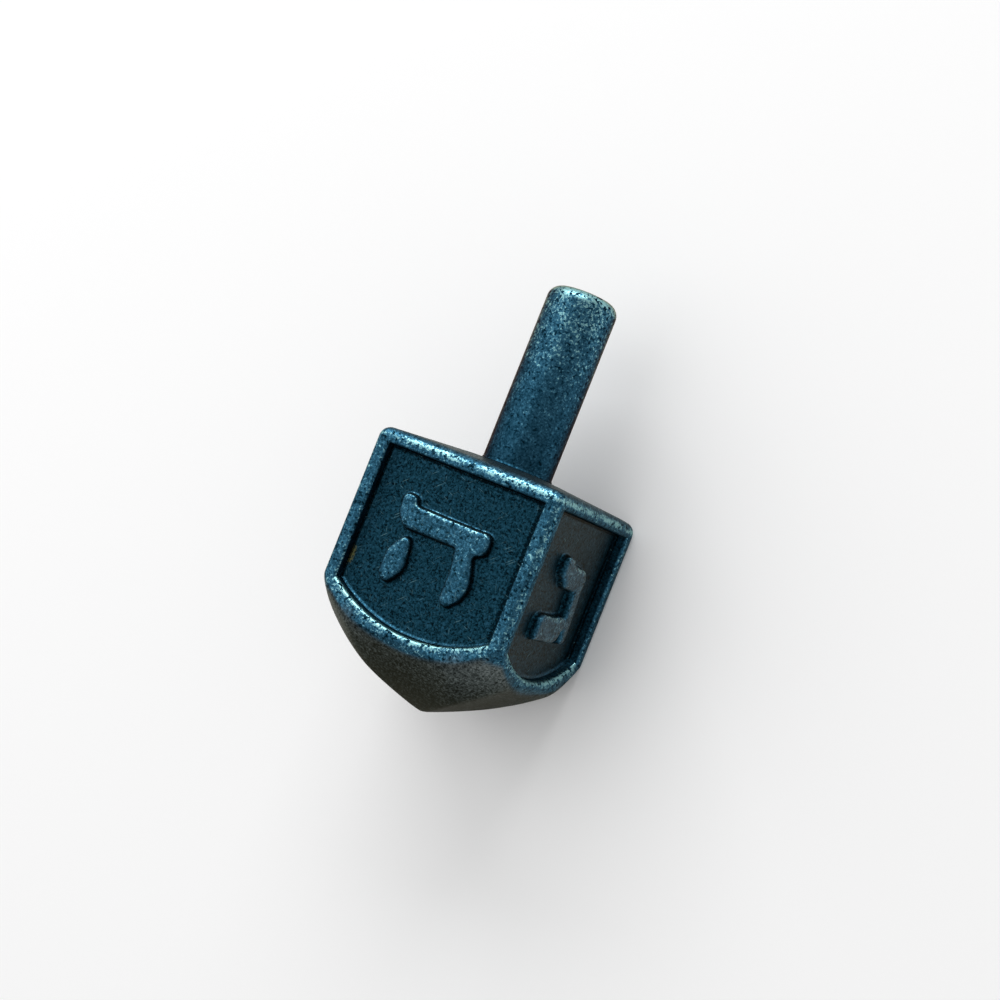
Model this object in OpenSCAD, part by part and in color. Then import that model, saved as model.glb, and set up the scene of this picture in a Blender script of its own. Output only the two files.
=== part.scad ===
// A small cast-metal dreidel that lies on one side: the stem points along +Y and the letter hei faces up.
// Every piece is drawn upright with its point at the origin, and is then laid down as the last step.

/* [Body] */
// Width of the square body across its flats
body_w = 15; // [12:0.5:17]
// Rounding of the four long edges of the body
edge_r = 0.5; // [0.2:0.1:0.9]
// Height from the point to the flat seat under the stem
body_h = 18.7; // [16:0.1:24]
// Slope of the four faces of the crowned top, in degrees
crown_angle = 5.7; // [1:0.1:9]

/* [Point] */
// Slope of the four lower faces where they meet at the point, in degrees
face_angle = 24; // [20:0.5:28]
// Radius that the four lower faces are curved to
face_r = 32; // [28:1:60]
// Slope at the point of the turned bowl that rounds the ridges between the faces, in degrees
bowl_angle = 12; // [8:0.5:15]
// Radius that the turned bowl is curved to
bowl_r = 17; // [16:0.5:22]
// Width of the small flat on the blunt point
point_flat = 0.6; // [0.2:0.1:1.2]

/* [Pockets] */
// Width of the rim on either side of a pocket
rim_side = 1.15; // [1:0.05:2]
// Width of the rim above a pocket
rim_top = 1.1; // [0.6:0.05:2]
// Width of the rim below a pocket, at the middle of a side
rim_low = 0.75; // [0.6:0.05:2]
// Width of the rim below a pocket's lower corners
rim_corner = 1.15; // [0.8:0.05:2]
// Depth from the rim to the face of a letter plate
recess_depth = 0.9; // [0.4:0.05:0.95]

/* [Letter plates] */
// Thickness of a letter plate
plate_t = 0.8; // [0.4:0.1:1.5]
// Bonding gap round the edge of a letter plate
plate_gap = 0.04; // [0.02:0.01:0.1]
// Height of a letter above the face of its plate
letter_raise = 0.65; // [0.2:0.05:0.9]
// Width of the broad letters, hei and shin
letter_w = 7.2; // [6:0.1:8]
// Width of the narrow letters, gimel and nun
narrow_w = 5.9; // [5:0.1:8]
// Height of a letter, from its feet to its horn
letter_h = 5.9; // [5:0.1:7]
// Thickness of a letter's broad strokes
broad_t = 1.5; // [1:0.05:1.7]
// Thickness of a letter's thin strokes
thin_t = 1.1; // [0.7:0.05:1.3]
// Thickness of a letter's finest strokes: its horn, and the link to the foot of gimel
fine_t = 0.9; // [0.5:0.05:1.1]
// Thickness of the swollen end of a leg or an arm
swell_t = 1.8; // [1.4:0.05:2]
// Height of the horn on a letter's head above the head
horn_rise = 0.55; // [0.3:0.05:0.8]
// Space above the left leg of hei
leg_gap = 0.5; // [0.2:0.05:0.8]
// How far the legs of hei stand in from its sides
leg_inset = 0.2; // [0:0.05:0.5]
// Slit between the foot of gimel and its stem
foot_slit = 0.35; // [0.15:0.05:0.6]

/* [Stem] */
// Diameter of the stem
stem_d = 5.3; // [4:0.1:7]
// Length of the stem that stands out of the body
stem_len = 13.6; // [8:0.1:20]
// Rounding of the stem's free end
stem_round = 0.9; // [0.3:0.1:1]
// Diameter of the spigot that fixes the stem
spigot_d = 3.4; // [2:0.1:3.8]
// Length of the spigot
spigot_len = 5; // [3:0.1:8]
// Space round the spigot in its socket
spigot_gap = 0.02; // [0.01:0.01:0.05]
// Space below the spigot in its socket
socket_spare = 0.3; // [0.1:0.1:1]

/* [Hidden] */

// Direction that each side of the body faces, turned from the front
front_angle = 0;
right_angle = 90;
back_angle = 180;
left_angle = 270;

smooth = 96;
past = 1;
// Overlap that joins a stroke's round ends to its straight part
lap = 0.003;
stem_r = stem_d / 2;
total_h = body_h + stem_len;

// The crowned top and the pointed underside that the square body is cut to
reach = body_w;
point_drop = point_flat / 2 * tan(face_angle);
function crown_z(x) = body_h - (x - stem_r) * tan(crown_angle);
function curve_z(r, angle, radius) =
    radius * cos(angle) - sqrt(radius * radius - pow(r + radius * sin(angle), 2)) - point_drop;
function under_z(x, y) = max(
    curve_z(x, face_angle, face_r),
    curve_z(y, face_angle, face_r),
    curve_z(norm([x, y]), bowl_angle, bowl_r)
);

// The pocket's outline, and the circle of its lower edge
panel_w = body_w - 2 * rim_side;
panel_top = crown_z(body_w / 2) - rim_top;
panel_bottom = under_z(0, body_w / 2) + rim_low;
panel_corner = under_z(panel_w / 2, body_w / 2) + rim_corner;
panel_mid = (panel_top + panel_bottom) / 2;
arc_rise = panel_corner - panel_bottom;
arc_r = (panel_w * panel_w / 4 + arc_rise * arc_rise) / (2 * arc_rise);
arc_mid = panel_bottom + arc_r;
seat_depth = recess_depth + plate_t;

// Half sizes of a letter and of its strokes, and the heights of its main strokes
half_w = letter_w / 2;
half_n = narrow_w / 2;
half_h = letter_h / 2;
broad_r = broad_t / 2;
thin_r = thin_t / 2;
fine_r = fine_t / 2;
swell_r = swell_t / 2;
head_y = half_h - horn_rise - broad_r;
base_y = broad_r - half_h;

// Turns an upright piece onto its side, with the middle of its length over the origin
module lay_down() {
    translate([0, -total_h / 2, body_w / 2])
        rotate([-90, 0, 0])
            children();
}

// Turns what is drawn for the front to another side
module on_side(angle) {
    rotate([0, 0, angle])
        children();
}

// Raises a flat outline from the given depth below the front side, towards the front
module raise_from(depth, height) {
    translate([0, depth - body_w / 2, 0])
        rotate([90, 0, 0])
            linear_extrude(height)
                children();
}

// The square section of the body with its rounded corners
module square_section() {
    inner = body_w - 2 * edge_r;
    square([inner, body_w], center = true);
    square([body_w, inner], center = true);
    for (x = [-1, 1], y = [-1, 1])
        translate([x * inner / 2, y * inner / 2])
            circle(edge_r, $fn = smooth);
}

// A disc whose lower right edge leaves the point at the given slope
module curve_disc(angle, radius) {
    translate([-radius * sin(angle), radius * cos(angle) - point_drop])
        circle(radius, $fn = smooth);
}

// The body seen square on, without its sides: two faces of the crown above and two curved faces below
module face_section() {
    intersection() {
        curve_disc(face_angle, face_r);
        curve_disc(-face_angle, face_r);
        polygon([
            [-reach, 0],
            [reach, 0],
            [reach, crown_z(reach)],
            [stem_r, body_h],
            [-stem_r, body_h],
            [-reach, crown_z(reach)]
        ]);
    }
}

// Half of the turned bowl's outline
module bowl_section() {
    intersection() {
        curve_disc(bowl_angle, bowl_r);
        square([reach, body_h]);
    }
}

// The block that carries two opposite faces of the crown and of the point
module face_block() {
    rotate([90, 0, 0])
        linear_extrude(2 * reach, center = true)
            face_section();
}

// The solid body before its pockets and its socket are cut
module body_block() {
    intersection() {
        linear_extrude(body_h)
            square_section();
        on_side(front_angle)
            face_block();
        on_side(right_angle)
            face_block();
        rotate_extrude($fn = smooth)
            bowl_section();
    }
}

// Outline of a pocket, drawn smaller all round by a gap: straight above and rounded below
module pocket_outline(gap) {
    half = panel_w / 2 - gap;
    r = arc_r - gap;
    corner = arc_mid - sqrt(r * r - half * half);
    translate([-half, corner])
        square([2 * half, panel_top - gap - corner]);
    intersection() {
        translate([0, arc_mid])
            circle(r, $fn = smooth);
        translate([-half, panel_bottom])
            square([2 * half, corner - panel_bottom]);
    }
}

// The bevelled block that fills a pocket below the recess, so that neighbouring pockets stay apart
module seat_block(gap) {
    half = panel_w / 2 - gap;
    face_y = recess_depth - body_w / 2;
    floor_y = seat_depth - body_w / 2;
    intersection() {
        raise_from(seat_depth, plate_t)
            pocket_outline(gap);
        linear_extrude(body_h)
            polygon([
                [-half, face_y],
                [half, face_y],
                [half - plate_t, floor_y],
                [plate_t - half, floor_y]
            ]);
    }
}

// A straight stroke with round ends, which may differ in radius
module stroke(a, a_r, b, b_r) {
    d = norm(b - a);
    lean = acos((a_r - b_r) / d);
    along = atan2(b.y - a.y, b.x - a.x);
    up = [cos(along + lean), sin(along + lean)];
    down = [cos(along - lean), sin(along - lean)];
    polygon([a + a_r * down, b + b_r * down, b + b_r * up, a + a_r * up]);
    translate(a)
        circle(a_r + lap, $fn = smooth);
    translate(b)
        circle(b_r + lap, $fn = smooth);
}

// The head of a letter: a broad bar with a horn on its left end
module head(from_x, to_x) {
    stroke([from_x + broad_r, head_y], broad_r, [to_x - broad_r, head_y], broad_r);
    stroke([from_x + broad_r, head_y], thin_r, [from_x + fine_r, half_h - fine_r], fine_r);
}

// The head that gimel and nun share
module narrow_head() {
    head(thin_t - half_n, half_n - thin_r);
}

module letter_hei() {
    leg_top = head_y - broad_r - leg_gap - thin_r;
    foot_x = half_w - swell_r;
    foot_y = swell_r - half_h;
    head(-half_w, half_w);
    stroke([half_w - broad_t, head_y], thin_r, [foot_x - leg_inset, foot_y], swell_r);
    stroke([leg_inset - foot_x, leg_top], thin_r, [-foot_x, foot_y], swell_r);
}

module letter_gimel() {
    stem_x = half_n - thin_r;
    foot_end = half_n - thin_t - foot_slit - broad_r;
    link_y = base_y + broad_r - fine_r;
    narrow_head();
    stroke([stem_x - thin_r, head_y], thin_r, [stem_x, thin_r - half_h], thin_r);
    stroke([broad_r - half_n, base_y], broad_r, [foot_end, base_y], broad_r);
    stroke([foot_end, link_y], fine_r, [stem_x, link_y], fine_r);
}

module letter_nun() {
    stem_x = half_n - broad_r;
    narrow_head();
    stroke([stem_x - thin_r, head_y], thin_r, [stem_x, base_y], thin_r);
    stroke([broad_r - half_n, base_y], broad_r, [stem_x, base_y], broad_r);
}

module letter_shin() {
    arm_x = half_w - swell_r;
    arm_y = half_h - swell_r;
    base_x = half_w - broad_t;
    stroke([-base_x, base_y], broad_r, [base_x, base_y], broad_r);
    stroke([arm_x, arm_y], swell_r, [base_x, base_y], broad_r);
    stroke([-arm_x, arm_y], swell_r, [-base_x, base_y], broad_r);
    stroke([0, arm_y], swell_r, [-base_x, base_y], thin_r);
}

// A letter plate on one side: the bevelled plate with its raised letter
module letter_plate(angle) {
    root = plate_t / 2;
    color("darkslategray")
        lay_down()
            on_side(angle) {
                seat_block(plate_gap);
                raise_from(recess_depth + root, root + letter_raise)
                    translate([0, panel_mid])
                        children();
            }
}

module body() {
    socket_depth = spigot_len + socket_spare;
    color("steelblue")
        lay_down()
            difference() {
                body_block();
                for (angle = [front_angle, right_angle, back_angle, left_angle])
                    on_side(angle) {
                        raise_from(recess_depth, recess_depth + past)
                            pocket_outline(0);
                        seat_block(0);
                    }
                translate([0, 0, body_h - socket_depth])
                    cylinder(h = socket_depth + past, d = spigot_d + 2 * spigot_gap, $fn = smooth);
            }
}

module stem() {
    straight = stem_len - stem_round;
    color("cadetblue")
        lay_down()
            translate([0, 0, body_h])
                rotate_extrude($fn = smooth) {
                    translate([0, -spigot_len])
                        square([spigot_d / 2, spigot_len + straight]);
                    square([stem_r, straight]);
                    square([stem_r - stem_round, stem_len]);
                    intersection() {
                        translate([stem_r - stem_round, straight])
                            circle(stem_round, $fn = smooth);
                        translate([stem_r - stem_round, straight])
                            square(stem_round);
                    }
                }
}

module panel_hei() {
    letter_plate(front_angle)
        letter_hei();
}

module panel_gimel() {
    letter_plate(right_angle)
        letter_gimel();
}

module panel_nun() {
    letter_plate(back_angle)
        letter_nun();
}

module panel_shin() {
    letter_plate(left_angle)
        letter_shin();
}

body();
stem();
panel_hei();
panel_gimel();
panel_nun();
panel_shin();
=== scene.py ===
import math

import bmesh
import bpy
import numpy as np
from mathutils import Matrix, Vector


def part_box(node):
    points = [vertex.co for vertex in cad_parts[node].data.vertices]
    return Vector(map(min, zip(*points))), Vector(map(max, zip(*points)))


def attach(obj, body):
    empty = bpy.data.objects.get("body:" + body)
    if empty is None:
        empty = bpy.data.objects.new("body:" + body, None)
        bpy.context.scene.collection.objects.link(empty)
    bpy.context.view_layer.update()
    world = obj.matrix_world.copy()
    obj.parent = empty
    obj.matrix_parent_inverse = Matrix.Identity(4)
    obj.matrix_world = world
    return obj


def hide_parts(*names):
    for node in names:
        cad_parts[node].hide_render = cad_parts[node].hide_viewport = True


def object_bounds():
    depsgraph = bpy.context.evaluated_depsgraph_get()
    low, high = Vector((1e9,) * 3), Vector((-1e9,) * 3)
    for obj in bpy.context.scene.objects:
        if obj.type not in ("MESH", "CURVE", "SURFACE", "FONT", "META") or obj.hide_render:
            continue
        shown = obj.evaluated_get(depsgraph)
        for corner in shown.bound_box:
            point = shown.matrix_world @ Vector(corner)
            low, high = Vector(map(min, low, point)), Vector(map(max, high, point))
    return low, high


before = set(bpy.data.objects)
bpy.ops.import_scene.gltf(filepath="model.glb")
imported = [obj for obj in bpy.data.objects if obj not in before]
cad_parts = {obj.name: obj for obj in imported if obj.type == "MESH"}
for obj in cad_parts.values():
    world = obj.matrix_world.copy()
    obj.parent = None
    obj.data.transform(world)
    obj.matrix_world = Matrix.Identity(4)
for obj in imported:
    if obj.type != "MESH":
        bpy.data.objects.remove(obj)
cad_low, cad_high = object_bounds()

# Cast body
# A zinc die casting, square with tumbled edges, a low hipped top and four curved faces in a blunt point.
# Each side has a pocket for its letter plate, and a blind socket in the top takes the stem's spigot.
MM = 1000
body_low, body_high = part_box("body")
stem_low, stem_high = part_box("stem")
body_half = (body_high.x - body_low.x) * MM / 2
body_h = (body_high.y - body_low.y) * MM
stem_r = (stem_high.x - stem_low.x) * MM / 2
SIDES = ["hei", "gimel", "nun", "shin"]

edge_r = 0.5
face_angle, face_r = math.radians(24), 32.0
bowl_angle, bowl_r = math.radians(12), 17.0
point_half, point_z = 0.3, -0.07
ridge_sharpness = 12.0
under_round_in, under_round_up, under_turn = 0.6, 0.36, math.radians(52)
crown_slope, crown_square = math.tan(math.radians(5.7)), 6.0
crown_round, crown_turn = 0.78, math.radians(84)

rim_side, rim_top = 1.15, 1.1
recess_depth, seat_depth = 0.9, 1.7
mouth_round, lip_round = 0.25, 0.33
least_flat_low, least_flat_top = 0.04, 0.05
pocket_half = body_half - rim_side
pocket_top = body_h - (body_half - stem_r) * crown_slope - rim_top
arc_bottom, arc_r = 5.29, 11.86
socket_r, socket_floor = 1.72, body_h - 5.3

# How worn and pale each place is, from 0, black, to 1, pale, going round or up each edge; some rows carry
# painted highlight or shade
corner_rub = (0.78, 0.62)
side_mouth_rub = [0.62, 0.68, 0.7, 0.7, 0.65, 0.55, 0.35]
# Painted highlight: the lower lip and the wall under it are paler where the window lamp's light would catch
# them
lip_wear_and_painted_highlight, lip_wall_painted_light = [0.8, 0.95, 1.05, 1.1, 1.1, 1.05, 0.8], 0.3
# Painted shade: the top mouth, which faces away from the lamps, is left darker than the others
top_mouth_wear_and_painted_shade = [0.1, 0.2, 0.35, 0.5, 0.6, 0.65, 0.6]
# Painted highlight: the crown's edge is palest in the band where the window lamp's highlight falls
crown_bend, crown_edge_wear_and_painted_highlight = [0, 0.12, 0.3, 0.5, 1], [0.6, 0.9, 1, 0.65, 0.45]
# The top is partly grey-brown: blue rubbed through, and painted reflection of a brown surface
crown_rub, crown_grey_wear_and_reflection = 0.45, 0.4

# The underside by distance from the axis, darker towards the point, and the blue band on it by distance
# below the pocket's lower edge
under_reach, under_paleness = [0, 4, 7, 8.3, 9.5], [-0.06, 0.0, 0.13, 0.26, 0.42]
# Below the blue band the underside turns grey-brown: partly rubbed through, partly painted reflection of a
# brown surface
band_rub, band_end, grey_start, band_fade = 0.67, 1.25, 0.98, 0.35

# Rows and columns of the mesh
corner_columns, floor_columns = 7, 18
under_rows, under_round_rows, floor_rows, crown_round_rows, crown_rows = 60, 8, 14, 11, 9


def laid_down(x, y, z):
    """Lays an upright piece, in millimetres from the point, on its side in the frame, in metres."""
    low = np.array(body_low)
    return np.stack([x, z, body_half - y], -1) / MM + [0, low[1], low[2]]


def turned(x, y, side):
    """Turns what is drawn for the front to another side."""
    quarter = side * math.pi / 2
    return x * math.cos(quarter) - y * math.sin(quarter), x * math.sin(quarter) + y * math.cos(quarter)


def curve_z(r, angle, radius):
    """Height of a curve that leaves the blunt point at an angle and is bent to a radius."""
    bent = radius * math.cos(angle) - np.sqrt(radius ** 2 - (r + radius * math.sin(angle)) ** 2)
    return bent - point_half * math.tan(face_angle)


def under_z(x, y):
    """Height of the underside: four curved faces whose ridges a turned bowl rounds, and a blunt point."""
    forms = [curve_z(np.abs(x), face_angle, face_r), curve_z(np.abs(y), face_angle, face_r),
             curve_z(np.hypot(x, y), bowl_angle, bowl_r), np.full(np.shape(x), point_z)]
    return np.log(sum(np.exp(ridge_sharpness * form) for form in forms)) / ridge_sharpness


def crown_z(x, y):
    """Height of the hipped top, which is flat under the stem."""
    out = (np.abs(x) ** crown_square + np.abs(y) ** crown_square) ** (1 / crown_square)
    return body_h - np.maximum(out - stem_r, 0) * crown_slope


def arc_z(u):
    """Height of a pocket's curved lower edge."""
    return arc_bottom + arc_r - np.sqrt(arc_r ** 2 - u ** 2)


def rounding(start, corner, end, turn, steps):
    """Points of a round edge between two tangent points, with the corner that it takes off."""
    t = np.linspace(0, 1, steps)[:, None]
    weight = 2 * t * (1 - t) * math.cos(turn / 2)
    return ((1 - t) ** 2 * start + weight * corner + t ** 2 * end) / ((1 - t) ** 2 + weight + t ** 2)


def mesh_piece(name, points, faces, material, attributes):
    """A closed mesh with its doubles merged, its faces outwards and smooth, and its named attributes."""
    mesh = bpy.data.meshes.new(name)
    mesh.from_pydata(points.reshape(-1, 3).tolist(), [], faces)
    for key, values in attributes.items():
        flat = values.astype(np.float32).ravel()
        if len(flat) == len(mesh.vertices):
            mesh.attributes.new(key, "FLOAT", "POINT").data.foreach_set("value", flat)
        else:
            mesh.attributes.new(key, "FLOAT_VECTOR", "POINT").data.foreach_set("vector", flat)
    least = 1e-7
    made = bmesh.new()
    made.from_mesh(mesh)
    bmesh.ops.remove_doubles(made, verts=made.verts, dist=least)
    bmesh.ops.dissolve_degenerate(made, edges=made.edges, dist=least)
    bmesh.ops.recalc_face_normals(made, faces=made.faces)
    made.to_mesh(mesh)
    made.free()
    mesh.shade_smooth()
    mesh.materials.append(material)
    piece = bpy.data.objects.new(name, mesh)
    bpy.context.scene.collection.objects.link(piece)
    return piece


def linear(hex_colour):
    """An sRGB hex colour as linear RGBA."""
    srgb = [int(hex_colour[i:i + 2], 16) / 255 for i in (1, 3, 5)]
    return [c / 12.92 if c <= 0.04045 else ((c + 0.055) / 1.055) ** 2.4 for c in srgb] + [1.0]


def node(tree, kind, settings=None, **links):
    """Adds a node, sets its properties and inputs, and links the inputs that are given as sockets."""
    made = tree.nodes.new(kind)
    for key, value in (settings or {}).items():
        setattr(made, key, value)
    for key, value in links.items():
        socket = made.inputs[int(key[1:]) if key[0] == "_" else key.replace("_", " ")]
        if isinstance(value, bpy.types.NodeSocket):
            tree.links.new(value, socket)
        else:
            socket.default_value = value
    return made


def antiqued_plating(name, deep, grazing, with_grey_wear_and_reflection=False, scratched=False):
    """Blue-green plating on a zinc casting, blackened and then tumbled, which rubs the high places pale.
    The eye sees black left in the hollows, fine worm-like mottling, soft pits, and a few hair scratches."""
    material = bpy.data.materials.new(name)
    material.use_nodes = True
    tree = material.node_tree
    tree.nodes.clear()
    place = node(tree, "ShaderNodeTexCoord").outputs["Object"]
    # The attribute read here sets how pale each place is: tumbling wear, with painted highlights and
    # painted shade on some edges
    wear_and_painted_light = node(tree, "ShaderNodeAttribute", {"attribute_name": "wear_and_painted_light"}).outputs["Fac"]

    # Mottling and pits in millimetres, and clouds where the tumbling rubbed more or less
    mottle_size, pit_size, pit_depth, cloud_size = 0.17, 0.26, 0.025, 0.9
    mottle = node(tree, "ShaderNodeTexNoise", Vector=place, Scale=MM / mottle_size, Detail=1.5,
                  Distortion=0.8).outputs["Fac"]
    grains = node(tree, "ShaderNodeTexNoise", Vector=place, Scale=MM / pit_size, Detail=1.0)
    clouds = node(tree, "ShaderNodeTexNoise", Vector=place, Scale=MM / cloud_size, Detail=3.0,
                  Roughness=0.6)
    patchy = node(tree, "ShaderNodeMapRange", Value=clouds.outputs["Fac"], From_Min=0.35, From_Max=0.65,
                  To_Min=0.85, To_Max=1.15)
    contrast = node(tree, "ShaderNodeMapRange", Value=wear_and_painted_light, From_Min=0.0, From_Max=0.6,
                    To_Min=1.0, To_Max=1.45)
    centred = node(tree, "ShaderNodeMath", {"operation": "SUBTRACT"}, _0=mottle, _1=0.5)
    pit = node(tree, "ShaderNodeMapRange", Value=grains.outputs["Fac"], From_Min=0.57, From_Max=0.66,
               To_Min=0.0, To_Max=0.8)
    worn = node(tree, "ShaderNodeMath", {"operation": "MULTIPLY"}, _0=wear_and_painted_light, _1=patchy.outputs["Result"])
    open_to_wear = node(tree, "ShaderNodeMath", {"operation": "POWER"}, _0=wear_and_painted_light, _1=1.6)
    pitted = node(tree, "ShaderNodeMath", {"operation": "MULTIPLY"}, _0=pit.outputs["Result"],
                  _1=open_to_wear.outputs[0]).outputs[0]
    mottled = node(tree, "ShaderNodeMath", {"operation": "MULTIPLY_ADD"}, _0=centred.outputs[0],
                   _1=contrast.outputs["Result"], _2=worn.outputs[0])
    wear = node(tree, "ShaderNodeMath", {"operation": "SUBTRACT"}, _0=mottled.outputs[0],
                _1=pitted).outputs[0]

    # From the blackening in the hollows to the pale edges
    plating = node(tree, "ShaderNodeValToRGB", Fac=wear)
    stops = plating.color_ramp.elements
    stops[0].color = linear("#03121a")
    stops[1].color = linear("#8abcc0")
    for at, colour in ((0.2, deep), (0.6, "#254d62"), (0.85, "#3a6d86")):
        stops.new(at).color = linear(colour)
    finish = plating.outputs["Color"]

    if with_grey_wear_and_reflection:
        # The point and the top are grey-brown: partly the blackening under the blue, rubbed through, and
        # partly a painted reflection of a brown surface
        grey_wear_and_reflection = node(tree, "ShaderNodeAttribute", {"attribute_name": "grey_wear_and_reflection"}).outputs["Fac"]
        grey = node(tree, "ShaderNodeValToRGB", Fac=wear)
        stops = grey.color_ramp.elements
        stops[0].color = linear("#161b1b")
        stops[1].color = linear("#7f8888")
        for at, colour in ((0.2, "#383f3f"), (0.5, "#5e6666")):
            stops.new(at).color = linear(colour)
        finish = node(tree, "ShaderNodeMix", {"data_type": "RGBA"}, _0=grey_wear_and_reflection, _6=finish,
                      _7=grey.outputs["Color"]).outputs[2]

    if scratched:
        # A few hair scratches of about a millimetre that cross at several angles, drawn wide enough to show
        hair_width = 0.08
        flat = node(tree, "ShaderNodeAttribute", {"attribute_name": "flat"}).outputs["Vector"]
        for turn, length, strength in ((20, 0.8, 0.3), (75, 0.8, 0.3), (140, 1.2, 0.4)):
            laid = node(tree, "ShaderNodeMapping", Vector=flat, Rotation=(0, 0, math.radians(turn)),
                        Location=(turn, 0, 0))
            drawn = node(tree, "ShaderNodeMapping", Vector=laid.outputs[0],
                         Scale=(1 / length, 1 / hair_width, 1))
            hair = node(tree, "ShaderNodeTexNoise", Vector=drawn.outputs[0], Scale=1.0, Detail=0.0)
            line = node(tree, "ShaderNodeMapRange", Value=hair.outputs["Fac"], From_Min=0.76, From_Max=0.86,
                        To_Max=strength)
            finish = node(tree, "ShaderNodeMix", {"data_type": "RGBA"}, _0=line.outputs["Result"],
                          _6=finish, _7=linear("#6f99a2")).outputs[2]
        # Olive residue of the antiquing wax, left in one hollow
        residue = node(tree, "ShaderNodeAttribute", {"attribute_name": "residue"}).outputs["Fac"]
        left = node(tree, "ShaderNodeMapRange", Value=mottle, From_Min=0.4, From_Max=0.52, To_Max=residue)
        finish = node(tree, "ShaderNodeMix", {"data_type": "RGBA"}, _0=left.outputs["Result"], _6=finish,
                      _7=linear("#62623a")).outputs[2]

    rough = node(tree, "ShaderNodeMapRange", Value=wear, To_Min=0.52, To_Max=0.3)
    relief = node(tree, "ShaderNodeMath", {"operation": "SUBTRACT"}, _0=mottle, _1=pitted)
    bump = node(tree, "ShaderNodeBump", Strength=0.7, Distance=pit_depth / MM, Height=relief.outputs[0])
    shader = node(tree, "ShaderNodeBsdfPrincipled", Base_Color=finish, Metallic=1.0, Normal=bump.outputs[0],
                  Roughness=rough.outputs["Result"], Specular_Tint=linear(grazing))
    node(tree, "ShaderNodeOutputMaterial", Surface=shader.outputs[0])
    return material


def side_columns():
    """Across one side, from corner to corner: the place, the drop of the round edge, the pocket's depth and
    how worn and pale each column is."""
    corner = np.radians(np.linspace(45, 0, corner_columns))
    mouth = np.radians(np.linspace(0, 90, len(side_mouth_rub)))
    floor = np.linspace(-pocket_half + seat_depth - recess_depth, 0, floor_columns)
    inner = 1 + floor_columns
    u = np.concatenate([edge_r - body_half - edge_r * np.sin(corner),
                        -pocket_half - mouth_round * (1 - np.sin(mouth)), [-pocket_half], floor])
    drop = np.concatenate([edge_r * (1 - np.cos(corner)), np.zeros(len(mouth) + inner)])
    pocket = np.concatenate([np.zeros(corner_columns), mouth_round * (1 - np.cos(mouth)), [recess_depth],
                             np.full(floor_columns, seat_depth)])
    wear_and_light = np.concatenate([np.linspace(*corner_rub, corner_columns), side_mouth_rub, np.zeros(inner)])
    halves = ((u, -1), (drop, 1), (pocket, 1), (wear_and_light, 1))
    return [np.concatenate([left, sign * left[-2:0:-1]]) for left, sign in halves]


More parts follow.
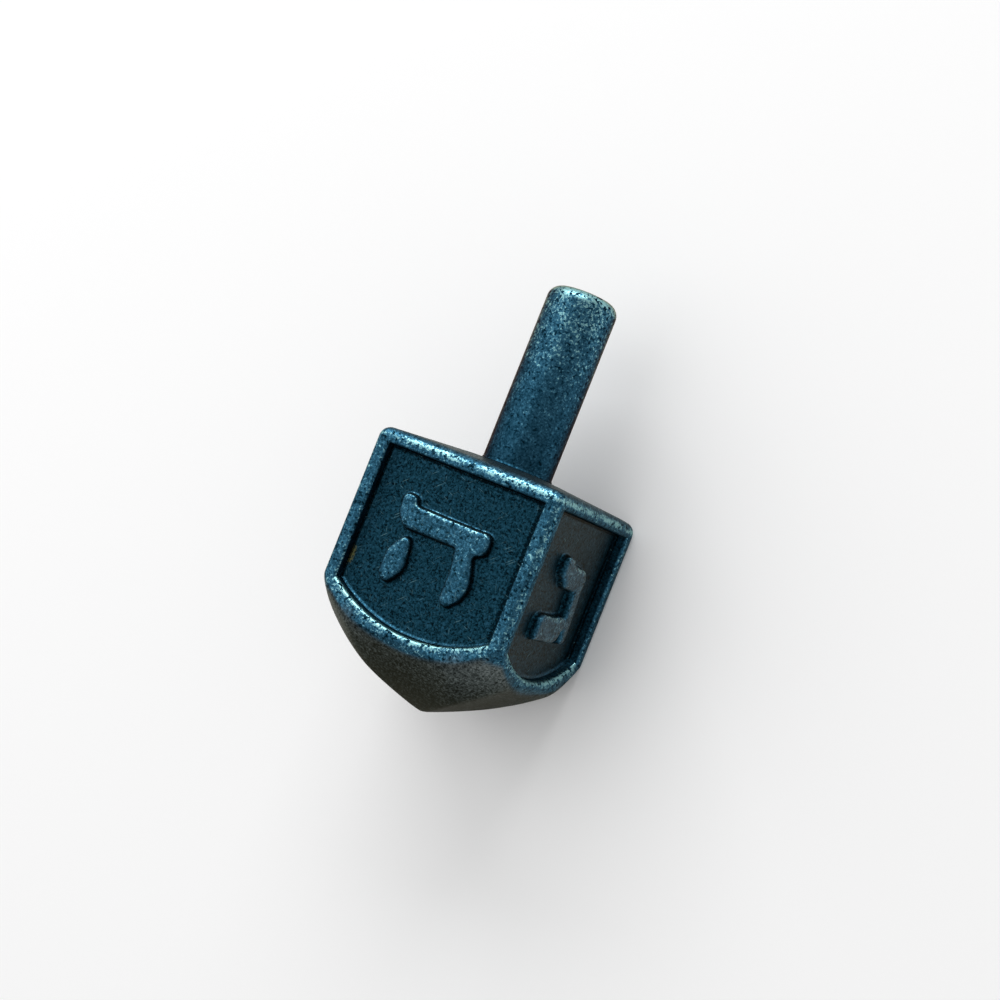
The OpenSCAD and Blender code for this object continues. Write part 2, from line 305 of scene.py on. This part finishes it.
def body_grid():
    """One side's surface as rows of points from the point up to the socket's floor, with how worn and pale
    each point is, painted highlight and shade included, and how far it turns grey-brown, partly worn
    through and partly painted reflection."""
    u, drop, column_depth, column_wear_and_light = side_columns()
    front = drop - body_half
    reach = np.hypot(u, front)
    pocket_u = np.clip(u, -pocket_half, pocket_half)
    low_edge, high_edge = under_z(u, front), crown_z(u, front)
    outermost = np.ones_like(u)
    rows, wear_and_light, grey_wear_and_reflection = [], [], []

    def add(x, y, z, wear_and_painted_light, grey_wear_and_reflection_share=0.0):
        rows.append(np.stack(np.broadcast_arrays(x, y, z), -1))
        wear_and_light.append(np.broadcast_to(wear_and_painted_light, rows[-1].shape[:2]))
        grey_wear_and_reflection.append(np.broadcast_to(grey_wear_and_reflection_share, rows[-1].shape[:2]))

    def add_under(out, height):
        below = arc_z(pocket_u) - height
        blue = np.clip((band_end - below) / band_fade, 0, 1)
        wear_and_painted_light = np.interp(out * reach, under_reach, under_paleness)
        grey_wear_and_reflection_share = np.clip((below - grey_start) / band_fade, 0, 1)
        add(out * u, out * front, height, wear_and_painted_light + (band_rub - wear_and_painted_light) * blue, grey_wear_and_reflection_share)

    near = 1 - under_round_in / reach
    near_z = under_z(near * u, near * front)
    share = np.linspace(0, 1, under_rows)[:, None] * near
    add_under(share, under_z(share * u, share * front))
    add_under(rounding(near, outermost, outermost, under_turn, under_round_rows),
              rounding(near_z, low_edge, low_edge + under_round_up, under_turn, under_round_rows))

    steep = 1 / np.sqrt(1 - (pocket_u / arc_r) ** 2)
    lip = np.maximum(arc_z(pocket_u), low_edge + under_round_up + lip_round * steep + least_flat_low)
    top_line = np.minimum(pocket_top, high_edge - crown_round - mouth_round - least_flat_top)
    low_mouth = np.radians(np.linspace(0, 90, len(lip_wear_and_painted_highlight)))[:, None]
    top_mouth = np.radians(np.linspace(90, 0, len(top_mouth_wear_and_painted_shade)))[:, None]
    floor = np.linspace(0, 1, floor_rows)[:, None]
    heights = np.concatenate([lip - lip_round * steep * (1 - np.sin(low_mouth)),
                              lip + floor * (top_line - lip),
                              top_line + mouth_round * (1 - np.sin(top_mouth))])
    depths = np.concatenate([lip_round * (1 - np.cos(low_mouth)), np.full((floor_rows, 1), seat_depth),
                             mouth_round * (1 - np.cos(top_mouth))])
    row_wear_and_light = np.concatenate([lip_wear_and_painted_highlight, [lip_wall_painted_light], np.zeros(floor_rows - 1), top_mouth_wear_and_painted_shade])[:, None]
    add(u, front + np.minimum(column_depth, depths), heights,
        np.where(column_depth <= depths, column_wear_and_light, row_wear_and_light))

    inner = 1 - crown_round / reach
    inner_z = crown_z(inner * u, inner * front)
    bend = np.linspace(0, 1, crown_round_rows)[:, None]
    scale = rounding(outermost, outermost, inner, crown_turn, crown_round_rows)
    lift = rounding(high_edge - crown_round, high_edge, inner_z, crown_turn, crown_round_rows)
    add(scale * u, scale * front, lift, np.interp(bend, crown_bend, crown_edge_wear_and_painted_highlight),
        crown_grey_wear_and_reflection * np.clip(2 * bend - 1, 0, 1))
    share = np.linspace(0, 1, crown_rows)[1:, None]
    scale = (1 - share) * inner + share * stem_r / reach
    add(scale * u, scale * front, crown_z(scale * u, scale * front), crown_rub, crown_grey_wear_and_reflection)
    for radius, height in ((socket_r, body_h), (socket_r, socket_floor), (0, socket_floor)):
        add(u / reach * radius, front / reach * radius, np.full_like(u, height)[None], 0.0)
    return np.concatenate(rows), np.concatenate(wear_and_light), np.concatenate(grey_wear_and_reflection)


def ring_faces(rows, columns):
    """Quads of a grid of rows whose columns close in a ring."""
    index = np.arange(rows * columns).reshape(rows, columns)
    after = np.roll(index, -1, 1)
    return np.stack([index[:-1], after[:-1], after[1:], index[1:]], -1).reshape(-1, 4).tolist()


front_grid, front_wear_and_light, front_grey_wear_and_reflection = body_grid()
front_x, front_y, front_z = np.moveaxis(front_grid, -1, 0)
body_sides = [laid_down(*turned(front_x, front_y, side), front_z) for side in range(len(SIDES))]
body_wear_and_light = np.tile(front_wear_and_light, len(SIDES))
body_grey_wear_and_reflection = np.tile(front_grey_wear_and_reflection, len(SIDES))
body_plating = antiqued_plating("tumbled_blue_plating_on_zinc", "#0d2c3a", "#c8c6bc", with_grey_wear_and_reflection=True)
body = mesh_piece("body_cast", np.concatenate(body_sides, 1), ring_faces(*body_wear_and_light.shape), body_plating,
                  {"wear_and_painted_light": body_wear_and_light, "grey_wear_and_reflection": body_grey_wear_and_reflection})
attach(body, "root")
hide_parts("body")

# Letter plates
# Four thin castings, one in each pocket, bonded in and antiqued darker than the body round them.
# Each carries one of the game's four letters in relief, rubbed pale by tumbling, with painted highlight on
# the upward sides of its soft cast edges and painted shade on the leftward sides.
plate_gap, plate_cell = 0.04, 0.06
letter_raise = 0.65
soft_wide, soft_high, letter_foot = 0.45, 0.25, 0.19
pen_points, pen_ease, pen_blend = 50, 6, 10.0
cove = 0.35
arc_mid = arc_bottom + arc_r
letter_z = (pocket_top + arc_bottom) / 2

# How worn the letter and the floor are, the painted highlight and shade on their edges, the painted light
# by the left and top walls, and the black band along each wall
# Painted highlight on the letters' upward edges, painted shade on their leftward edges
letter_rub, upper_edge_painted_highlight, left_edge_painted_shade = 0.59, 0.34, -0.25
# Painted light: the floor is paler by the left and top walls, lifting the shade they cast
floor_rub, left_wall_painted_light, top_wall_painted_light, wall_fade = 0.2, 0.14, 0.06, 0.4
# Painted highlight: pale lines on the foot above each letter and in the cove along the lower edge
foot_line_painted_highlight, foot_line_at, foot_line_half = 0.55, 0.12, 0.08
cove_line_painted_highlight, cove_line_end, cove_line_fade = 0.36, 0.24, 0.07
black_left, black_right, black_top, black_low = -0.04, 0.52, 0.16, -0.02
black_fade, foot_fade, edge_slack = 0.12, 0.1, 0.02

# Wax residue by the left wall of the plate with hei, and the shifts that give each plate its own scratches
residue_x, residue_z, residue_wide, residue_high, residue_most = -6.26, -2.3, 0.24, 0.85, 0.85
scratch_side_shift, scratch_height_shift = 20, 6

# Pen strokes of each letter: points across and up from the plate's middle, with the stroke's half width
LETTERS = {
    "hei": [
        [(-2.7, 1.7, 0.85), (2.75, 1.72, 0.83)],
        [(-3.15, 2.05, 0.72), (-3.35, 2.65, 0.5)],
        [(-3.6, 2.8, 0.32), (-3.05, 2.78, 0.33)],
        [(3.15, 2.1, 0.43), (3.1, 1.5, 0.45)],
        [(2.05, 1.0, 0.75), (2.08, 0.4, 0.72), (2.36, -0.6, 0.82), (2.48, -1.6, 0.9), (2.1, -2.5, 0.5)],
        [(2.3, -1.2, 0.68), (1.98, -2.5, 0.44)],
        [(-2.5, -0.2, 0.5), (-2.75, -1.1, 0.88), (-2.72, -1.7, 0.9), (-2.98, -2.45, 0.62)],
    ],
    "gimel": [
        [(-0.3, 1.85, 0.9), (1.6, 1.75, 0.9)],
        [(-1.2, 2.35, 0.78), (-0.4, 1.9, 0.85)],
        [(-1.55, 2.75, 0.38), (-0.85, 2.78, 0.36)],
        [(1.75, 1.4, 0.7), (1.9, 0.2, 0.72), (2.15, -1.0, 0.72), (2.45, -2.5, 0.5)],
        [(-1.75, -2.1, 0.95), (0.7, -2.1, 0.95)],
        [(-2.2, -1.8, 0.5), (-2.3, -2.6, 0.45)],
        [(0.7, -1.5, 0.42), (2.2, -1.5, 0.5)],
    ],
    "nun": [
        [(-0.3, 1.85, 0.9), (1.3, 1.75, 0.9)],
        [(-1.2, 2.35, 0.78), (-0.4, 1.9, 0.85)],
        [(-1.55, 2.75, 0.38), (-0.85, 2.78, 0.36)],
        [(1.75, 1.4, 0.7), (1.95, 0.2, 0.65), (1.95, -2.0, 0.65)],
        [(-2.0, -2.05, 0.88), (1.7, -2.05, 0.88)],
    ],
    "shin": [
        [(-1.9, -2.05, 0.85), (1.9, -2.05, 0.85)],
        [(2.75, 2.1, 0.75), (2.75, 1.4, 0.9), (2.0, -2.0, 0.75)],
        [(-2.75, 2.1, 0.75), (-2.75, 1.4, 0.9), (-2.0, -2.0, 0.75)],
        [(0.0, 2.1, 0.75), (0.0, 1.4, 0.85), (-1.6, -1.9, 0.6)],
    ],
}


def pen_path(stroke):
    """Points along a stroke with its bends and its changes of width eased."""
    along = np.linspace(0, len(stroke) - 1, pen_points)
    path = [np.interp(along, np.arange(len(stroke)), values) for values in zip(*stroke)]
    padded = [np.pad(values, pen_ease, "reflect", reflect_type="odd") for values in path]
    window = 2 * pen_ease + 1
    return np.stack([np.convolve(values, np.full(window, 1 / window), "valid") for values in padded], -1)


def outside(letter, u, v):
    """Distance of points outside a letter's strokes, negative within them, with the strokes blended."""
    joined = 0
    for stroke in LETTERS[letter]:
        nearest = np.min([np.hypot(u - x, v - y) - half for x, y, half in pen_path(stroke)], axis=0)
        joined = joined + np.exp(-pen_blend * nearest)
    return -np.log(joined) / pen_blend


def relief(distance):
    """Height of a letter over its plate: a hollow foot, a wall and a soft upper edge."""
    foot = np.clip(1 - distance / letter_foot, 0, 1)
    edge = np.clip(-distance / soft_wide, 0, 1)
    hollow = letter_foot * (1 - np.sqrt(1 - foot ** 2))
    upper = letter_raise - soft_high * (1 - np.sqrt(1 - (1 - edge) ** 2))
    wall = np.clip(0.5 - distance / plate_cell, 0, 1)
    return hollow + wall * (upper - hollow)


def plate_grid(letter):
    """The plate's face as a grid: places across and up, the relief on it, and how worn and pale it is,
    painted highlights and shade included.
    """
    half = pocket_half - plate_gap
    across = np.linspace(-half, half, round(2 * half / plate_cell) + 1)
    lower = arc_mid - np.sqrt((arc_r - plate_gap) ** 2 - across ** 2)
    rows = round((pocket_top - arc_bottom) / plate_cell) + 1
    share = np.linspace(0, 1, rows)[:, None]
    u = np.broadcast_to(across, (rows, len(across))).copy()
    v = lower + share * (pocket_top - plate_gap - lower)

    # Points near a letter's outline are moved onto it, so that the wall rises cleanly
    step = 0.01
    distance = outside(letter, u, v - letter_z)
    slope_u = (outside(letter, u + step, v - letter_z) - distance) / step
    slope_v = (outside(letter, u, v - letter_z + step) - distance) / step
    snapped = np.where(np.abs(distance) < plate_cell / 2, distance, 0)
    u -= snapped * slope_u
    v -= snapped * slope_v
    distance = outside(letter, u, v - letter_z)
    left_gap, right_gap, top_gap = pocket_half + u, pocket_half - u, pocket_top - v
    low_gap = arc_r - np.hypot(u, v - arc_mid)
    edge = np.minimum.reduce([left_gap, right_gap, top_gap, low_gap])
    border = np.clip(1 - edge / cove, 0, 1)
    height = relief(distance) + cove * (1 - np.sqrt(1 - border ** 2))

    # The walls and a band of floor along each are black, widest along the right wall; the letter is rubbed,
    # with painted highlight and shade on its edges, its foot and the cove
    past_black = np.minimum.reduce([left_gap - black_left, right_gap - black_right, top_gap - black_top,
                                    low_gap - black_low])
    # Painted light: paler floor by the left and top walls
    painted_light_by_walls = left_wall_painted_light * np.exp(-left_gap / wall_fade) + top_wall_painted_light * np.exp(-top_gap / wall_fade)
    in_the_open = np.clip(distance / foot_fade, 0, 1) * np.clip(past_black / black_fade, 0, 1)
    floor = (floor_rub + painted_light_by_walls) * in_the_open
    upward, leftward = np.clip(slope_v, 0, 1), np.clip(-slope_u, 0, 1)
    # Painted highlight: a pale line on the foot of each letter's upward sides
    painted_foot_line = foot_line_painted_highlight * np.clip(1 - np.abs(distance - foot_line_at) / foot_line_half, 0, 1) * upward
    lowest = low_gap <= edge + edge_slack
    # Painted highlight: a pale line in the cove along the lower edge only
    painted_cove_line = cove_line_painted_highlight * np.clip((cove_line_end - edge) / cove_line_fade, 0, 1) * lowest
    top_edge = np.clip(1 + distance / soft_wide, 0, 1)
    # Painted highlight on the letter's upward edges, painted shade on its leftward edges
    edge_wear_and_painted_light = upper_edge_painted_highlight * top_edge * upward + left_edge_painted_shade * top_edge ** 4 * leftward
    wear_and_light = np.where(distance < -plate_cell / 2, letter_rub + edge_wear_and_painted_light, floor + painted_foot_line + painted_cove_line)
    return u, v, height, np.where(np.abs(distance) <= plate_cell / 2, 0.0, wear_and_light)


def plate_piece(side, letter, material):
    """One letter plate as a closed mesh: its face in relief, its bevelled sides and its back."""
    u, v, height, wear_and_light = plate_grid(letter)
    rows, columns = u.shape
    index = np.arange(rows * columns).reshape(rows, columns)
    face_corners = [index[:-1, :-1], index[:-1, 1:], index[1:, 1:], index[1:, :-1]]
    faces = np.stack(face_corners, -1).reshape(-1, 4).tolist()
    rim = np.concatenate([index[0, :-1], index[:-1, -1], index[-1, :0:-1], index[:0:-1, 0]])
    back_half = pocket_half - plate_gap - (seat_depth - recess_depth)
    back_u = np.clip(u.ravel()[rim], -back_half, back_half)
    back = rows * columns + np.arange(len(rim))
    faces += np.stack([rim, back, np.roll(back, -1), np.roll(rim, -1)], -1).tolist()
    faces.append(back[::-1].tolist())
    x = np.concatenate([u.ravel(), back_u])
    depth = np.concatenate([recess_depth - height.ravel(), np.full(len(rim), seat_depth)])
    z = np.concatenate([v.ravel(), v.ravel()[rim]])
    wear_and_painted_light = np.concatenate([wear_and_light.ravel(), np.zeros(len(rim))])
    shift = scratch_side_shift * side + scratch_height_shift * (recess_depth - depth)
    from_spot = np.hypot((x - residue_x) / residue_wide, (z - letter_z - residue_z) / residue_high)
    residue = np.clip(3 - 3 * from_spot, 0, residue_most) * (letter == "hei")
    return mesh_piece("plate_" + letter, laid_down(*turned(x, depth - body_half, side), z), faces, material,
                      {"wear_and_painted_light": wear_and_painted_light, "flat": np.stack([x, z, shift], -1), "residue": residue})


plate_plating = antiqued_plating("dark_blue_plating_with_rubbed_letters", "#113341", "#ffefd7",
                                 scratched=True)
for side, letter in enumerate(SIDES):
    plate = plate_piece(side, letter, plate_plating)
    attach(plate, "root")
    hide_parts("panel_" + letter)

# Stem
# A turned and tumbled bar with a soft end, held between two fingers to spin the top.
# Its shoulder seats on the crowned top with a small flare, and its spigot is pressed into the socket.
stem_plating = antiqued_plating("tumbled_blue_plating_on_the_stem", "#0b2f40", "#c09c78")
stem_length = stem_high.y - body_high.y
spigot_length = 5.0 / MM
flare, end_fall = 0.1 / MM, 0.01 / MM
spigot_round, seat_round, flare_round = 0.2 / MM, 0.03 / MM, 0.25 / MM
stem_inputs = {
    "Spigot end": -spigot_length,
    "Spigot edge": end_fall - spigot_length,
    "Spigot radius": 1.7 / MM,
    "Shoulder edge": -end_fall,
    "Shoulder radius": stem_r / MM + flare,
    "Flare height": 1.7 * flare,
    "Stem radius": stem_r / MM,
    "End edge": stem_length - end_fall,
    "End rounding": 0.95 / MM,
    "Stem length": stem_length,
    "Seat": (0, body_high.y, body_half / MM),
    "Finish": stem_plating,
}
input_kinds = {"Seat": "NodeSocketVector", "Finish": "NodeSocketMaterial"}

turned_stem = bpy.data.node_groups.new("turned_stem", "GeometryNodeTree")
stem_keys = {}
for name in stem_inputs:
    kind = input_kinds.get(name, "NodeSocketFloat")
    stem_keys[name] = turned_stem.interface.new_socket(name, in_out="INPUT", socket_type=kind).identifier
turned_stem.interface.new_socket("Stem", in_out="OUTPUT", socket_type="NodeSocketGeometry")
given = node(turned_stem, "NodeGroupInput").outputs

# Corners of half the outline, as distance from the axis and height over the seat, with the rounding of each
stem_corners = [
    (0.0, given["Spigot end"], 0.0),
    (given["Spigot radius"], given["Spigot edge"], spigot_round),
    (given["Spigot radius"], given["Shoulder edge"], 0.0),
    (given["Shoulder radius"], 0.0, seat_round),
    (given["Stem radius"], given["Flare height"], flare_round),
    (given["Stem radius"], given["End edge"], given["End rounding"]),
    (0.0, given["Stem length"], 0.0),
]
corner_number = node(turned_stem, "GeometryNodeInputIndex").outputs[0]
places = node(turned_stem, "GeometryNodeIndexSwitch", {"data_type": "VECTOR"}, Index=corner_number)
radii = node(turned_stem, "GeometryNodeIndexSwitch", {"data_type": "FLOAT"}, Index=corner_number)
for number in range(2, len(stem_corners)):
    places.index_switch_items.new()
    radii.index_switch_items.new()
for number, (out, up, round_r) in enumerate(stem_corners):
    corner = node(turned_stem, "ShaderNodeCombineXYZ", X=out, Y=up)
    turned_stem.links.new(corner.outputs[0], places.inputs[number + 1])
    if isinstance(round_r, float):
        radii.inputs[number + 1].default_value = round_r
    else:
        turned_stem.links.new(round_r, radii.inputs[number + 1])

line = node(turned_stem, "GeometryNodeMeshLine", Count=len(stem_corners))
chain = node(turned_stem, "GeometryNodeMeshToCurve", Mesh=line.outputs[0])
drawn = node(turned_stem, "GeometryNodeSetPosition", Geometry=chain.outputs[0], Position=places.outputs[0])
filleted = node(turned_stem, "GeometryNodeFilletCurve", {"mode": "POLY"}, Curve=drawn.outputs[0], Count=14,
                Radius=radii.outputs[0], Limit_Radius=True)
position = node(turned_stem, "GeometryNodeInputPosition")
spot = node(turned_stem, "ShaderNodeSeparateXYZ", Vector=position.outputs[0])
measured = node(turned_stem, "GeometryNodeSetCurveRadius", Curve=filleted.outputs[0],
                Radius=spot.outputs["X"])
upright = node(turned_stem, "ShaderNodeCombineXYZ", Y=spot.outputs["Y"])
axis = node(turned_stem, "GeometryNodeSetPosition", Geometry=measured.outputs[0],
            Position=upright.outputs[0])
hoop = node(turned_stem, "GeometryNodeCurvePrimitiveCircle", Resolution=96, Radius=1.0)
lathed = node(turned_stem, "GeometryNodeCurveToMesh", Curve=axis.outputs[0], Profile_Curve=hoop.outputs[0],
              Scale=node(turned_stem, "GeometryNodeInputRadius").outputs[0])
closed = node(turned_stem, "GeometryNodeMergeByDistance", Geometry=lathed.outputs[0], Distance=1e-7)
smooth = node(turned_stem, "GeometryNodeSetShadeSmooth", Geometry=closed.outputs[0])

# The round of the free end is rubbed most and made paler still as a painted highlight, its flat less, and
# the bar evenly
from_end = node(turned_stem, "ShaderNodeMath", {"operation": "SUBTRACT"}, _0=given["Stem length"],
                _1=spot.outputs["Y"])
edge_wear_and_painted_light = node(turned_stem, "ShaderNodeMapRange", Value=from_end.outputs[0], From_Min=0.4 / MM,
                From_Max=1.5 / MM, To_Min=1.15, To_Max=0.43)
flat_rub = node(turned_stem, "ShaderNodeMapRange", Value=from_end.outputs[0], From_Min=0.012 / MM,
                From_Max=0.1 / MM, To_Min=0.55, To_Max=1.0)
end_wear_and_painted_highlight = node(turned_stem, "ShaderNodeMath", {"operation": "MULTIPLY"}, _0=edge_wear_and_painted_light.outputs[0],
               _1=flat_rub.outputs[0])
stored = node(turned_stem, "GeometryNodeStoreNamedAttribute", {"data_type": "FLOAT", "domain": "POINT"},
              Geometry=smooth.outputs[0], Name="wear_and_painted_light", Value=end_wear_and_painted_highlight.outputs[0])
seated = node(turned_stem, "GeometryNodeSetPosition", Geometry=stored.outputs[0], Offset=given["Seat"])
realized = node(turned_stem, "GeometryNodeRealizeInstances", Geometry=seated.outputs[0])
finished = node(turned_stem, "GeometryNodeSetMaterial", Geometry=realized.outputs[0],
                Material=given["Finish"])
node(turned_stem, "NodeGroupOutput", Stem=finished.outputs[0])

stem = bpy.data.objects.new("stem_turned", bpy.data.meshes.new("stem_turned"))
bpy.context.scene.collection.objects.link(stem)
lathe = stem.modifiers.new("turned_stem", "NODES")
lathe.node_group = turned_stem
for name, value in stem_inputs.items():
    lathe[stem_keys[name]] = value
evaluated = stem.evaluated_get(bpy.context.evaluated_depsgraph_get())
stem_mesh = bpy.data.meshes.new_from_object(evaluated)
stem.modifiers.remove(lathe)
stem.data = stem_mesh
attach(stem, "root")
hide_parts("stem")

# Table, lamps and camera
# The top lies on one side on a plain pale table, under a soft lamp overhead and one past the stem.
# The camera looks down at the letter hei, turned a little to the side of gimel.
table_half = 3.0
table_corners = [(x * table_half, y * table_half, 0) for x, y in ((-1, -1), (1, -1), (1, 1), (-1, 1))]
table_mesh = bpy.data.meshes.new("table")
table_mesh.from_pydata(table_corners, [], [(0, 1, 2, 3)])
table = bpy.data.objects.new("table", table_mesh)
bpy.context.scene.collection.objects.link(table)
paint = bpy.data.materials.new("matt_white_table")
paint.use_nodes = True
paint_shader = paint.node_tree.nodes["Principled BSDF"]
paint_shader.inputs["Base Color"].default_value = linear("#f8f8f8")
paint_shader.inputs["Roughness"].default_value = 0.9
table_mesh.materials.append(paint)

world = bpy.data.worlds.new("studio")
world.use_nodes = True
studio_light = world.node_tree.nodes["Background"]
studio_light.inputs["Color"].default_value = linear("#ffffff")
studio_light.inputs["Strength"].default_value = 0.55
bpy.context.scene.world = world

middle = (cad_low + cad_high) / 2


def soft_lamp(name, turn, rise, distance, width, height, radiance):
    """A soft lamp that faces the object, turned from the stem's direction and raised."""
    turn, rise = math.radians(turn), math.radians(rise)
    lamp = bpy.data.lights.new(name, "AREA")
    lamp.shape = "RECTANGLE"
    lamp.size, lamp.size_y = width, height
    lamp.energy = radiance * math.pi * width * height
    holder = bpy.data.objects.new(name, lamp)
    level = math.cos(rise)
    towards = Vector((math.sin(turn) * level, math.cos(turn) * level, math.sin(rise)))
    holder.location = middle + distance * towards
    holder.rotation_euler = (middle - holder.location).to_track_quat("-Z", "Y").to_euler()
    bpy.context.scene.collection.objects.link(holder)


soft_lamp("lamp_overhead", -90, 52, 0.5, 0.65, 0.65, 0.7)
soft_lamp("lamp_window", -16, 29, 0.6, 0.6, 0.28, 4.5)

view_distance = 101.8 / MM
view_turn, view_tilt, stem_lean = math.radians(25.96), math.radians(-0.42), math.radians(21.77)
aim_right, aim_up = -0.254 / MM, 0.229 / MM
back = Vector((math.sin(view_turn) * math.cos(view_tilt), math.sin(view_tilt),
               math.cos(view_turn) * math.cos(view_tilt)))
across = Vector((0, 1, 0)).cross(back).normalized()
along = back.cross(across)
picture_right = across * math.cos(stem_lean) + along * math.sin(stem_lean)
picture_up = along * math.cos(stem_lean) - across * math.sin(stem_lean)
camera_data = bpy.data.cameras.new("camera")
camera_data.sensor_width = 36
camera_data.lens = 50.7
camera_data.clip_start = 0.005
camera = bpy.data.objects.new("camera", camera_data)
camera.matrix_world = Matrix((picture_right, picture_up, back)).transposed().to_4x4()
camera.location = middle + picture_right * aim_right + picture_up * aim_up + back * view_distance
bpy.context.scene.collection.objects.link(camera)
bpy.context.scene.camera = camera
bpy.context.scene.view_settings.view_transform = "Standard"
